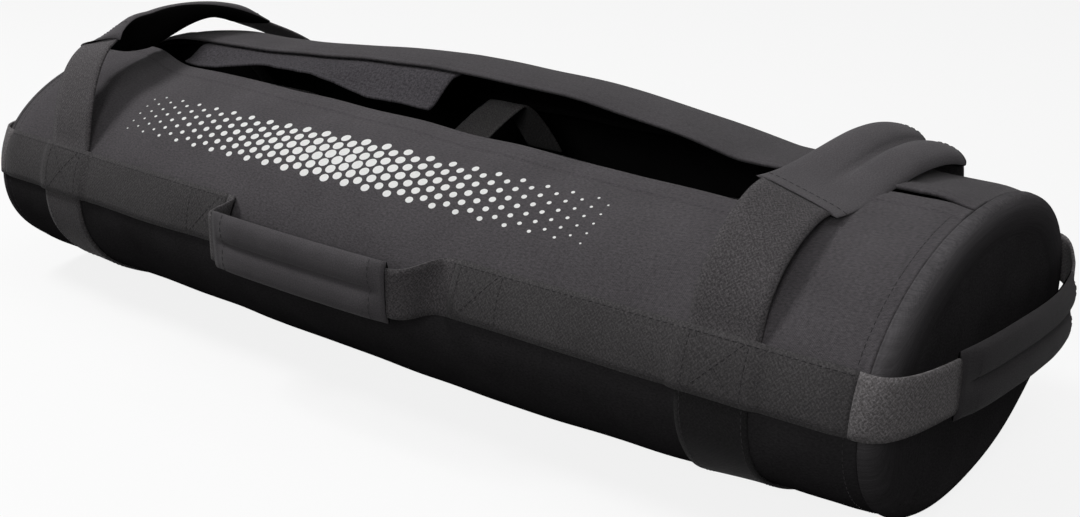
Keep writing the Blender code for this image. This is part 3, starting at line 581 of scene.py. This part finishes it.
def build_belt(side, end, name):
    xs = [end * x for x in spread(SIDE_BASE_X, BELT_END, 84)]
    rows = [belt_row(x, side) for x in xs]
    piece = cloth_grid("sewn_" + name, rows, path_places(rows, BELT_WIDTH), "belt_webbing", from_axis,
                       BELT_WALL, 1.0)
    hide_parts(name)
    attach(piece, "bag")
    runs = []
    for height in (BELT_Z - BELT_WIDTH / 2 + 0.0025, BELT_Z + BELT_WIDTH / 2 - 0.0025):
        runs.append([belt_thread(x, height, side) for x in xs])
    boxes = ((SIDE_BASE_X + 0.004, SIDE_BASE_X + 0.034), (STRAP_X - 0.017, STRAP_X + 0.017))
    lines = [(x, x) for box in boxes for x in box] + [line for a, b in boxes for line in ((a, b), (b, a))]
    runs += [across_belt(end * low_x, end * high_x, side) for low_x, high_x in lines]
    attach(stitch_piece("stitches_" + name, runs), "bag")


def across_belt(low_x, high_x, side):
    """A row of thread from the belt's lower to its upper edge."""
    return [belt_thread(mix(low_x, high_x, share), BELT_Z + BELT_WIDTH * (share - 0.5), side)
            for share in spread(0.08, 0.92, 10)]


def build_girth_strap(end, word):
    look = "webbing" if end < 0 else "dim_webbing"
    xs = [end * x for x in spread(STRAP_X - STRAP_WIDTH / 2, STRAP_X + STRAP_WIDTH / 2, 12)]
    rows = []
    for share in spread(0, 1, 130):
        row = []
        for x in xs:
            top = angle_at(x, BELT_Z + 0.010)
            row.append(skin(x, mix(math.pi - top, 2 * math.pi + top, share), GAP))
        rows.append(row)
    piece = cloth_grid("sewn_girth_" + word, rows, path_places(rows, STRAP_WIDTH), look, from_axis,
                       STRAP_WALL, 1.0)
    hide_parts("girth_strap_" + word)
    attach(piece, "bag")
    runs = []
    for x in (STRAP_X - STRAP_WIDTH / 2 + 0.003, STRAP_X + STRAP_WIDTH / 2 - 0.003):
        for low, high in ((math.radians(300), math.radians(366)), (math.radians(174), math.radians(240))):
            runs.append([(skin(end * x, a, GAP + STRAP_WALL), normal(end * x, a)) for a in spread(low, high, 40)])
    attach(stitch_piece("stitches_girth_" + word, runs), "bag")


# Handles

def smooth_path(knots, steps):
    """A curve through knots of (point, pull behind, pull ahead), with the given steps between them."""
    path = [knots[0][0]]
    for (start, _, ahead), (stop, behind, _), count in zip(knots, knots[1:], steps):
        path += interpolate_bezier(start, start + ahead, stop - behind, stop, count + 1)[1:]
    return path


def arched(knots):
    """The knots of half an arch, and the other half mirrored across y."""
    def flip(v):
        return Vector((v.x, -v.y, v.z))

    def back(v):
        return Vector((-v.x, v.y, -v.z))

    return knots + [(flip(p), back(ahead), back(behind)) for p, behind, ahead in knots[::-1]]


def web_halves(name, node_name, rows, width, wall, look="webbing", painted_tone=0.0):
    """Webbing in two halves that meet inside the sleeve, each bending from its sewn end to the sleeve. A tone share
    above zero makes it paler: painted light.
    """
    half = len(rows) // 2
    for word, part, base, top in (("near", rows[:half + 1], 0, LEG), ("far", rows[half:], -1, -1 - LEG)):
        places = [[(u, v, painted_tone) for u, v in line] for line in path_places(part, width)]
        piece = cloth_grid(f"{name}_{word}", part, places, look,
                           lambda c: Vector((c.x * 0.6, c.y, c.z - 0.07)), wall, 0.0)
        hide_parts(node_name)
        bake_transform(piece)


def roll_profile(points=30):
    """Round a padded sleeve: across from -1 to 1, out as a share of half its thickness, and out unparted."""
    front = []
    for i in range(points + 1):
        across = -math.cos(i / points * math.pi)
        roll = max(0.0, 1 - abs((abs(across) - 0.5) / 0.5) ** 2.3) ** 0.5
        dome = math.sqrt(max(0.0, 1 - across ** 4))
        front.append((across, max(roll, 0.22 * math.sqrt(1 - across ** 2)), 0.8 * dome))
    back = []
    for across, _, _ in front[-2:0:-1]:
        out = -0.52 * math.sqrt(max(0.0, 1 - across ** 4))
        back.append((across, out, out))
    return front + back


def build_sleeve(name, node_name, stations, width, thick, outward, body, flat=0.012, lobes=False, painted_tone=0.0):
    """Two padded rolls round the webbing along stations of (centre, across), which part over the length flat. With
    lobes, the far end is two round bumps. The back half, towards the bag, takes the darkest look, the lining's:
    painted shade. A tone share below zero darkens the whole sleeve: painted shade."""
    profile = roll_profile()
    lengths = [0.0]
    for (a, _), (b, _) in zip(stations, stations[1:]):
        lengths.append(lengths[-1] + (b - a).length)
    total = lengths[-1]
    rows, places, ups = [], [], []
    for i, (centre, across) in enumerate(stations):
        ahead = (stations[min(i + 1, len(stations) - 1)][0] - stations[max(i - 1, 0)][0]).normalized()
        up = across.cross(ahead).normalized()
        if up.dot(outward) < 0:
            up = -up
        ups.append(up)
        reach = lengths[i] if lobes else min(lengths[i], total - lengths[i])
        parted = smooth(flat * 0.25, flat, reach)
        full, tail = 0.58 + 0.42 * smooth(0.0, 0.020, reach), 1.0
        if lobes:
            left = min(max((total - lengths[i]) / 0.012, 0.0), 1.0)
            tail = math.sqrt(left * (2 - left))
            full = mix(0.36, 1.16, smooth(0.028, 0.094, lengths[i]))
        wobble = 1 + 0.06 * noise.noise(centre * 50)
        row, v, line = [], 0.0, []
        for a, o, smoother in profile:
            out = mix(smoother, o, parted)
            pull = -0.006 * (1 - tail) * (2 * abs(abs(a) - 0.5)) ** 2
            high = out * thick / 2 * full * wobble * mix(0.30, 1.0, tail)
            row.append(centre + across * (a * width / 2) + up * high + ahead * pull)
        for j, point in enumerate(row):
            if j:
                v += (point - row[j - 1]).length
            line.append((lengths[i], v, painted_tone))
        rows.append(row)
        places.append(line)
    ends = []
    for at, inside in ((0, 1), (-1, -2)):
        centre = stations[at][0]
        inward = (stations[inside][0] - centre).normalized()
        ends.append([[mix(centre, point, share) + inward * deep for point in rows[at]]
                     for share, deep in ((0.82, 0.0004), (0.62, 0.003), (0.55, 0.008))])
    all_rows = ends[0][::-1] + rows + ends[1]
    all_places = [places[0]] * 3 + places + [places[-1]] * 3
    # The back half of the sleeve, towards the bag, takes the darkest look, the lining's: painted shade.
    piece = cloth_grid(name, all_rows, all_places, "sleeve_fabric",
                       lambda c: c - nearest(stations, c), closed=True,
                       second=("lining_and_painted_shade", lambda i, j: j >= 30))
    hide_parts(node_name)
    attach(piece, body)
    runs = []
    for at in (3, -4):
        up = ups[at]
        runs.append([(rows[at][j] + up * THREAD_LIFT, up) for j in range(2, 29)])
    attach(stitch_piece(name + "_stitches", runs), body)


def nearest(stations, point):
    return min((s[0] for s in stations), key=lambda c: (c - point).length_squared)


def build_top_handle(end, name, near, far, shift, yaw, twist=0.0, near_turn=0.0):
    """Near and far are the sleeve's ends: distance from the bag's middle, rise, climb and tilt. A twist leans the
    near half of the sleeve out further, with its inner edge kept where it is."""
    middle = end * STRAP_X
    foot = skin(middle, angle_at(middle, BELT_Z + BELT_WIDTH / 2 + 0.0012), GAP + STRAP_WALL / 2)
    base = Vector((0, foot.y, foot.z + 0.0006))
    third = (near[0] + far[0]) / 3
    climb, fall = Vector((0, third, near[2])), Vector((0, third, -far[2]))
    lean = math.radians(10)
    up = Vector((0, math.sin(lean), math.cos(lean))) * 0.036
    down = Vector((0, up.y, -up.z))
    knots = [(base, up, up),
             (Vector((0, -near[0], BAG_HEIGHT + near[1])), climb.normalized() * 0.018, climb),
             (Vector((0, far[0], BAG_HEIGHT + far[1])), fall, fall.normalized() * 0.018),
             (Vector((0, -base.y, base.z)), down, down)]
    path = smooth_path(knots, [LEG, GRIP, LEG])
    stations = []
    for i, point in enumerate(path):
        share = smooth(0, LEG, min(i, len(path) - 1 - i))
        along = min(max((point.y + near[0]) / (near[0] + far[0]), 0.0), 1.0)
        plain = share * mix(near[3], far[3], along)
        leaned = math.sin(math.pi / 2 * min(along / 0.375, 1.0)) ** 0.5 * (1 - smooth(0.375, 0.90, along))
        tilt = plain + share * (twist * leaned - near_turn * (1 - smooth(0.0, 0.4, along)))
        sink = 0.025 * (math.sin(tilt) - math.sin(plain)) * smooth(0.0, 0.25, along)
        x = STRAP_X + share * (shift + mix(-yaw, yaw, along))
        stations.append((Vector((end * x, point.y, point.z - sink)),
                         Vector((math.cos(tilt) * end, 0, -math.sin(tilt)))))
    under = []
    for height in (BELT_Z + 0.004, BELT_Z + 0.009, BELT_Z + 0.014):
        under.append([skin(end * x, angle_at(end * x, height), GAP + STRAP_WALL / 2 + THREAD_LIFT)
                      for x in spread(STRAP_X - STRAP_WIDTH / 2, STRAP_X + STRAP_WIDTH / 2, 8)])
    rows = under + [[centre + across * s * STRAP_WIDTH / 2 for s in spread(-1, 1, 8)]
                    for centre, across in stations]
    rows += [[Vector((p.x, -p.y, p.z)) for p in row] for row in under[::-1]]
    lobed = end > 0
    # The left handle's webbing is made paler by a share of 0.22: painted light on the webbing that faces the light.
    web_halves("web_" + name, name + "_webbing", rows, STRAP_WIDTH, STRAP_WALL, painted_tone=0.0 if lobed else 0.22)
    last = LEG - 5 if lobed else LEG
    build_sleeve("pad_" + name, name + "_sleeve", stations[LEG:-last], *TOP_PAD, Vector((0, 0, 1)), name,
                 0.055 if lobed else 0.030, lobed)


def upright(path, base):
    """Stations and rows of webbing that follows the belt's row base at both ends and stands upright between."""
    centre = (base[0] + base[-1]) / 2
    full = (base[-1] - base[0]).length
    rows, stations = [], []
    for i, point in enumerate(path):
        share = smooth(0, LEG, min(i, len(path) - 1 - i))
        side = -math.copysign(1, point.y)
        row = []
        for corner in base:
            along = (corner - base[0]).length / full - 0.5
            curved = Vector((0, side * (corner.y - centre.y), corner.z - centre.z))
            row.append(point + curved.lerp(Vector((0, 0, along * SIDE_WEB)), share))
        rows.append(row)
        stations.append((point, (row[-1] - row[0]).normalized()))
    return stations, rows


def belt_middle(x):
    row = belt_row(x, -1, BELT_WALL / 2)
    return row, (row[0] + row[-1]) / 2


def build_side_handle(side, name):
    base, middle = belt_middle(SIDE_BASE_X)
    out = middle.y - SIDE_OUT
    pull = Vector((SIDE_PULL, 0, 0))
    bow = Vector((SIDE_SLEEVE * 2 / 3, -SIDE_BOW * 4 / 3, 0))
    knots = [(Vector((-SIDE_BASE_X, middle.y, middle.z)), pull, pull),
             (Vector((-SIDE_SLEEVE, out, middle.z)), pull, bow),
             (Vector((SIDE_SLEEVE, out, middle.z)), Vector((bow.x, -bow.y, 0)), pull),
             (Vector((SIDE_BASE_X, middle.y, middle.z)), pull, pull)]
    path = [Vector((p.x, -side * p.y, p.z)) for p in smooth_path(knots, [LEG, GRIP, LEG])]
    stations, rows = upright(path, base)
    web_halves("web_" + name, name + "_webbing", rows, SIDE_WEB, BELT_WALL)
    # The side sleeves are darkened by a share of 0.22: painted shade.
    build_sleeve("pad_" + name, name + "_sleeve", stations[LEG:-LEG], *SIDE_PAD, Vector((0, side, 0)), name,
                 painted_tone=-0.22)


def build_end_handle(end, name):
    base, middle = belt_middle(end * BELT_END)
    grip = Vector((HALF_LENGTH + END_OUT, -END_SLEEVE, middle.z))
    pull = Vector((END_PULL, -END_FLARE if end > 0 else 0.0, 0))
    bow = Vector((END_BOW * 4 / 3, END_SLEEVE * 2 / 3, 0))
    knots = arched([(Vector((BELT_END, middle.y, middle.z)), pull, pull), (grip, bow.normalized() * END_PULL, bow)])
    sag = 0.009 if end > 0 else 0.0
    path = [Vector((end * p.x, p.y, p.z - sag * smooth(-0.04, 0.09, p.y) * (1 - smooth(0.112, 0.134, p.y))))
            for p in smooth_path(knots, [LEG, GRIP, LEG])]
    stations, rows = upright(path, base)
    # The end handles' webbing takes the paler copy of the webbing's look: painted light.
    web_halves("web_" + name, name + "_webbing", rows, SIDE_WEB, BELT_WALL, "painted_light_webbing")
    # The end sleeves are darkened by a share of 0.62: painted shade.
    build_sleeve("pad_" + name, name + "_sleeve", stations[LEG:-LEG], *SIDE_PAD, Vector((end, 0, 0)), name,
                 painted_tone=-0.62)


# Filler bags

def pillow_row(x, along, inset, lumps):
    """Points round a filler bag. Along goes from -1 to 1, and lumps is the share by which it is uneven."""
    full = max(0.0, 1 - abs(along) ** 4) ** 0.5
    half_width = mix(SLOT_WIDE, FILLER_WIDE, full) - inset
    half_height = mix(SLOT_HIGH, FILLER_HIGH, full) - inset
    row = []
    for k in range(72):
        a = k / 72 * 2 * math.pi
        c, s = math.cos(a), math.sin(a)
        rumple = 1 + lumps * noise.noise(Vector((x * 34, c * 3, s * 3)))
        row.append(Vector((x, -half_width * power(c, ROUND) * rumple,
                           max(FILLER_CENTRE + half_height * power(s, ROUND) * rumple, FILLER_FLOOR + inset))))
    return row


def build_filler(number):
    middle, half = (number - 2) * FILLER_PITCH, FILLER_HALF
    name = f"filler_{number}"
    shares = [-math.cos(i / 44 * math.pi) for i in range(45)]
    rows = [pillow_row(middle + half * s, s, 0.0008, 0.012) for s in shares]
    piece = cloth_grid(name + "_cloth", rows, arc_places(rows), "filler_fabric",
                       lambda c: c - Vector((middle, 0, FILLER_CENTRE)), 0.0010, closed=True)
    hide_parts(name + "_skin")
    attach(piece, "bag")
    rows = [pillow_row(middle + half * s, s, 0.0035, 0.010) for s in shares if -0.90 <= s <= 0.80]
    for at in (0, -1):
        hub = sum(rows[at], Vector()) / len(rows[at])
        caps = [[mix(hub, p, share) for p in rows[at]] for share in (0.66, 0.33, 0.01)]
        rows = caps[::-1] + rows if at == 0 else rows + caps
    sand = cloth_grid(f"sand_{number}", rows, arc_places(rows), "sand",
                      lambda c: c - Vector((middle, 0, FILLER_CENTRE)), closed=True)
    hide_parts(f"sand_fill_{number}")
    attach(sand, "bag")
    low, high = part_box(name + "_mouth_tape")
    rows = [[Vector((x, y, high.z)) for y in spread(low.y, high.y, 40)] for x in spread(low.x, high.x, 6)]
    tape = cloth_grid(name + "_closing_strip", rows, arc_places(rows), "hook_and_loop",
                      lambda c: Vector((0, 0, 1)), high.z - low.z)
    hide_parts(name + "_mouth_tape")
    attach(tape, "bag")
    build_pull_strap(name, number == 2)


def build_pull_strap(name, shown):
    """An arch of webbing over a filler bag. The one that shows in the mouth leans over to the left and the back,
    and its far part is darkened: painted shade.
    """
    low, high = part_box(name + "_pull_strap")
    x = (low.x + high.x) / 2
    seat = low.z + 0.0010
    handle = Vector((0, STRAP_FOOT * 2 / 3, (high.z - 0.0008 - seat) * 4 / 3))
    knots = [(Vector((x, -STRAP_FOOT, seat)), handle, handle),
             (Vector((x, STRAP_FOOT, seat)), Vector((0, handle.y, -handle.z)), handle)]
    if shown:
        knots = [(knots[0][0], handle, Vector((-0.010, 0.045, 0.010))),
                 (Vector((x - 0.016, 0.048, 0.157)), Vector((0, 0.030, 0.006)), Vector((0, 0.010, -0.001))),
                 (knots[1][0], Vector((0.008, 0.002, -0.014)), handle)]
    path = smooth_path(knots, [34, 14] if shown else [48])
    rows = [[p + Vector((dx, 0, 0)) for dx in spread(-STRAP_HALF, STRAP_HALF, 8)] for p in path]
    # The far part of the shown strap, past its peak, is darkened by a share of 0.8: painted shade.
    places = [[(u, v, -0.8 * smooth(30, 38, i) if shown else 0.0) for u, v in line]
              for i, line in enumerate(path_places(rows, 2 * STRAP_HALF))]
    strap = cloth_grid(name + "_grab_strap", rows, places, "inner_webbing",
                       lambda c: Vector((0, 0, 1)), STRIP_WALL, 0.0)
    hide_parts(name + "_pull_strap")
    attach(strap, "bag")


# A plain printed band of dots on the near panel, which shrink towards its ends

def build_print():
    points, faces, places = [], [], []
    half_columns, half_rows = DOT_COLUMNS // 2, DOT_ROWS // 2
    for column in range(DOT_COLUMNS):
        for row in range(DOT_ROWS):
            x = PRINT_LEFT + column * DOT_PITCH
            a = PRINT_ANGLE + (row - half_rows + (column % 2) / 2) * DOT_PITCH / PRINT_RADIUS
            size = DOT_SIZE * (1 - 0.80 * (abs(column - half_columns) / half_columns) ** 1.3)
            size *= 1 - 0.08 * abs(row - half_rows)
            first = len(points)
            points.append(skin(x, a, 0.00025))
            for k in range(16):
                t = k / 16 * 2 * math.pi
                points.append(skin(x + size * math.cos(t), a + size * math.sin(t) / PRINT_RADIUS, 0.00025))
            faces += [(first, first + 1 + k, first + 1 + (k + 1) % 16) for k in range(16)]
            places += [(p.x, p.y + p.z) for p in points[first:]]
    total = sum((points[b] - points[a]).cross(points[c] - points[a]).dot(from_axis(points[a])) for a, b, c in faces)
    if total < 0:
        faces = [face[::-1] for face in faces]
    piece = make_piece("dot_print", points, faces, places, "ink")
    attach(piece, "bag")


def build_bag_stitches():
    xs = spread(-0.348, 0.348, 180)
    runs = [on_skin(xs, lambda x: near_edge(x) - d / RADIUS, -THREAD_LIFT) for d in HEM_ROWS]
    for side in (-1, 1):
        x = side * 0.3435
        runs.append([(skin(x, a), normal(x, a)) for a in spread(math.radians(-60), math.radians(84), 140)])
        runs.append([(skin(x, a), normal(x, a)) for a in spread(math.radians(142), math.radians(240), 90)])
    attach(stitch_piece("bag_stitches", runs), "bag")


build_shell()
far_panel(-HALF_LENGTH, FLAP_PEAK, "flap_left")
far_panel(FLAP_PEAK, HALF_LENGTH, "flap_right")
for end_side, end_word in ((-1, "left"), (1, "right")):
    build_end(end_side, end_word)
    build_binding(end_side, end_word)
    build_girth_strap(end_side, end_word)
    build_belt(-1, end_side, "belt_front_" + end_word)
    build_belt(1, end_side, "belt_back_" + end_word)
    build_end_handle(end_side, "end_handle_" + end_word)
build_hook_tape()
build_tongue()
build_top_handle(-1, "top_handle_left", (0.085, 0.016, 0.019, math.radians(25)),
                 (0.057, 0.0100, 0.025, math.radians(5)), shift=0.010, yaw=0.0, twist=math.radians(28),
                 near_turn=math.radians(12))
build_top_handle(1, "top_handle_right", (0.061, 0.0036, -0.004, math.radians(16)),
                 (0.0565, 0.0072, 0.012, math.radians(16)), shift=0.010, yaw=0.009)
build_side_handle(-1, "front_handle")
build_side_handle(1, "back_handle")
for filler in (1, 2, 3):
    build_filler(filler)
build_print()
build_bag_stitches()


# Floor, light and camera

def seen_straight(tree):
    """1 for rays from the camera, also mirrored or through glass, and 0 for light that bounces off."""
    rays = node(tree, "ShaderNodeLightPath").outputs
    return maths(tree, "MAXIMUM", rays["Is Camera Ray"],
                 maths(tree, "MAXIMUM", rays["Is Glossy Ray"], rays["Is Transmission Ray"]))


def flat_material(name, tone, bounce):
    """White to the camera with the floor's shadow kept, and darker to other light, which stays off the bag."""
    material = bpy.data.materials.new(name)
    material.use_nodes = True
    tree = material.node_tree
    tree.nodes.clear()
    seen = node(tree, "ShaderNodeBsdfDiffuse", {"Color": (tone, tone, tone, 1)})
    glow = node(tree, "ShaderNodeEmission", {"Color": (1, 1, 1, 1), "Strength": 1.0})
    shown = node(tree, "ShaderNodeMixShader", {0: 0.85, 1: seen.outputs[0], 2: glow.outputs[0]})
    dull = node(tree, "ShaderNodeBsdfDiffuse", {"Color": (bounce, bounce, bounce, 1)})
    both = node(tree, "ShaderNodeMixShader", {0: seen_straight(tree), 1: dull.outputs[0], 2: shown.outputs[0]})
    node(tree, "ShaderNodeOutputMaterial", {"Surface": both.outputs[0]})
    return material


floor_mesh = bpy.data.meshes.new("floor")
floor_corners = [(x, y, -0.0002) for x, y in ((-6, -6), (6, -6), (6, 6), (-6, 6))]
floor_mesh.from_pydata(floor_corners, [], [(0, 1, 2, 3)])
floor_mesh.materials.append(flat_material("floor", 0.9, 0.10))
floor = bpy.data.objects.new("floor", floor_mesh)
bpy.context.scene.collection.objects.link(floor)

world = bpy.data.worlds.new("studio")
bpy.context.scene.world = world
world.use_nodes = True
sky = world.node_tree
sky.nodes.clear()
soft_sky = node(sky, "ShaderNodeBackground", {"Color": (1, 1, 1, 1), "Strength": 0.17})
white_sky = node(sky, "ShaderNodeBackground", {"Color": (1, 1, 1, 1), "Strength": 1.0})
either = node(sky, "ShaderNodeMixShader", {0: seen_straight(sky), 1: soft_sky.outputs[0], 2: white_sky.outputs[0]})
node(sky, "ShaderNodeOutputWorld", {"Surface": either.outputs[0]})


def area_light(name, place, aim, size, energy):
    data = bpy.data.lights.new(name, "AREA")
    data.shape, data.size, data.energy = "DISK", size, energy
    light = bpy.data.objects.new(name, data)
    light.location = place
    light.rotation_euler = (Vector(aim) - Vector(place)).to_track_quat("-Z", "Y").to_euler()
    bpy.context.scene.collection.objects.link(light)


area_light("key", (-1.05, -0.6, 1.95), (0.0, 0.0, 0.08), 0.7, 25.5)
area_light("top", (0.5, 0.1, 2.0), (0.0, 0.0, 0.08), 1.4, 7)
area_light("front", (0.70, -1.30, 0.75), (0.2, -0.1, 0.10), 0.4, 5.5)

camera_data = bpy.data.cameras.new("camera")
camera_data.lens, camera_data.sensor_width = 47.48, 36.0
camera_data.clip_start = 0.05
camera = bpy.data.objects.new("camera", camera_data)
camera.location = (0.5986, -0.7037, 0.4072)
camera.rotation_euler = (Vector((0.0573, 0.0, 0.0708)) - camera.location).to_track_quat("-Z", "Y").to_euler()
bpy.context.scene.collection.objects.link(camera)
bpy.context.scene.camera = camera
bpy.context.scene.view_settings.view_transform = "Standard"
